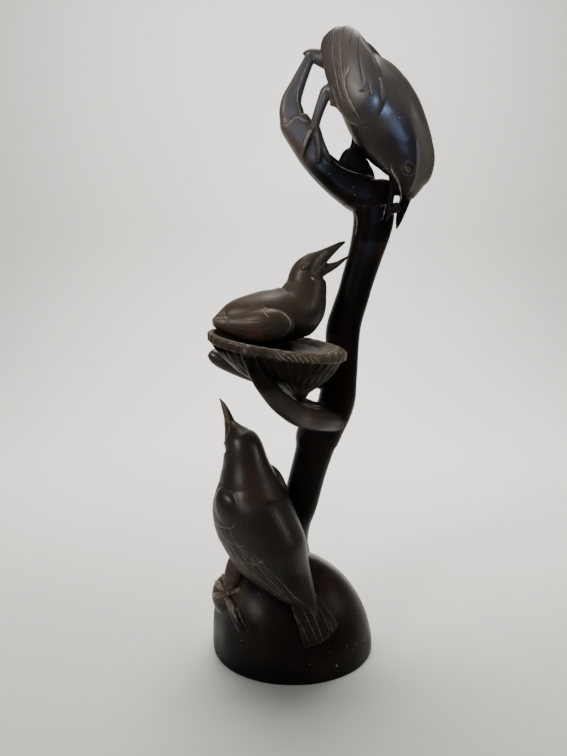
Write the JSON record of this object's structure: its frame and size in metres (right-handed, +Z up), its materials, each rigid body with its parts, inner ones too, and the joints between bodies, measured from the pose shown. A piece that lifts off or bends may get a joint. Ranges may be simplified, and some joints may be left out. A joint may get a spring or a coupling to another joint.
{
  "type": "bird tree carving",
  "caption": "Carved hardwood sculpture of birds in a small knobbed tree, with a nest on its side arms, rising from a rounded mound with a flat underside.",
  "frame": {"origin": "centre of the mound's flat underside", "axes": "+X to the right of the front view, towards the side the trunk leans to, +Y away from the viewer, +Z up"},
  "size_m": [0.1838, 0.1184, 0.5136],
  "materials": {
    "dark_hardwood": "nearly black dense hardwood, smoothed and polished to a soft sheen, with fine incised lines"
  },
  "bodies": {
    "root": {"bird_tree_carving": "dark_hardwood"}
  },
  "joints": []
}
